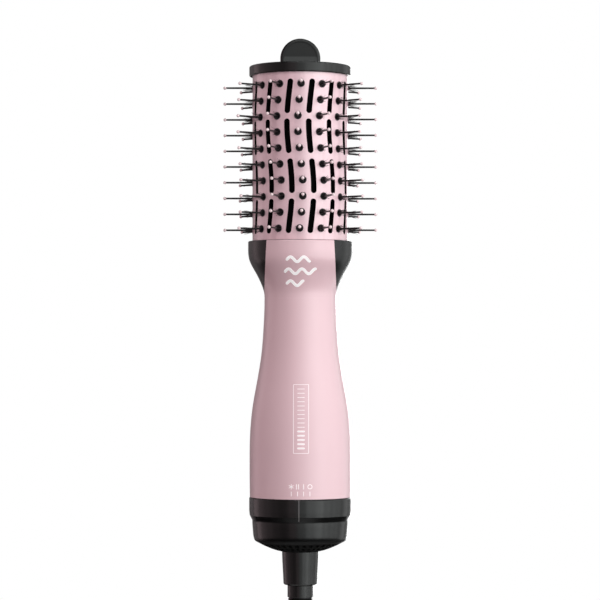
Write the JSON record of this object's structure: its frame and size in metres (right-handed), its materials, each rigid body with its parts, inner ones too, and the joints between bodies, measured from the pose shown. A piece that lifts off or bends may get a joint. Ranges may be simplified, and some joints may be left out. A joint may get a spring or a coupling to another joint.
{
  "type": "hot air brush",
  "caption": "Round hot air styling brush with a slotted metallic barrel, ball-tipped bristles, cool tip, twist control ring, bell-shaped air inlet and swivelling cord gland.",
  "frame": {"origin": "centre of the cord gland's end face, on the brush's long axis", "axes": "+Z along the long axis from the cord end to the cool tip, -Y out of the front with the setting marks, +X to the right seen from the front"},
  "size_m": [0.0818, 0.0818, 0.3015],
  "materials": {
    "pink_satin": "satin",
    "pink_metallic": "metallic satin",
    "black_plastic": "fine matt",
    "black_soft": "satin",
    "bristle_dark": "satin",
    "ball_pale": "gloss",
    "print_grey": "paint",
    "dark_plastic": "matt",
    "white_plastic": "matt",
    "steel": "brushed",
    "brass": "plain",
    "copper": "plain",
    "mica": "layered",
    "board_green": "solder mask",
    "lead_red": "smooth",
    "lead_blue": "smooth"
  },
  "bodies": {
    "root": {"barrel_tube": "pink_metallic", "barrel_core": "dark_plastic", "bristle_strips": "bristle_dark", "bristle_pins": "bristle_dark", "bristle_ball_tips": "ball_pale", "cool_tip_cap": "black_plastic", "end_plate": "steel", "tip_screw": "steel", "barrel_collar": "black_soft", "front_handle_shell": "pink_satin", "rear_handle_shell": "pink_satin", "handle_screws": "steel", "inlet_housing": "black_plastic", "intake_filter": "dark_plastic", "circuit_board": "board_green", "switch_body": "dark_plastic", "rectifier_diodes": "dark_plastic", "motor_shroud": "dark_plastic", "motor_can": "steel", "motor_magnets": "dark_plastic", "motor_end_cap": "white_plastic", "motor_bushes": "brass", "mica_frame": "mica", "mica_sleeve": "mica", "heater_coil": "steel", "thermostat": "steel", "thermal_fuse": "brass", "heater_leads": "lead_red", "supply_leads": "lead_blue", "swivel_sleeve": "black_plastic", "contact_carrier": "dark_plastic", "contact_leaves": "brass"},
    "control_ring": {"control_ring": "black_soft", "ring_pointer": "print_grey"},
    "switch_slider": {"switch_slider": "white_plastic"},
    "fan_rotor": {"motor_shaft": "steel", "motor_rotor": "copper", "fan_impeller": "white_plastic"},
    "cord_swivel": {"swivel_stem": "black_plastic", "gland_nose": "black_plastic", "slip_rings": "brass", "swivel_clip": "steel"}
  },
  "joints": [
    {"name": "control_ring_turn", "type": "hinge", "parent": "root", "child": "control_ring", "pos_m": [0, 0, 0.0523], "axis": [0, 0, 1], "range_deg": [-8.6, 12.3]},
    {"name": "switch_slide", "type": "slide", "parent": "root", "child": "switch_slider", "axis": [1, 0, 0], "range_m": [-0.0046, 0.0033]},
    {"name": "fan_spin", "type": "hinge", "parent": "root", "child": "fan_rotor", "pos_m": [0, 0, 0.1], "axis": [0, 0, 1], "continuous": true},
    {"name": "cord_swivel_turn", "type": "hinge", "parent": "root", "child": "cord_swivel", "pos_m": [0, 0, 0.02], "axis": [0, 0, 1], "continuous": true}
  ],
  "couplings": [
    {"joint": "switch_slide", "follows": "control_ring_turn", "m_per_rad": -0.01975}
  ]
}
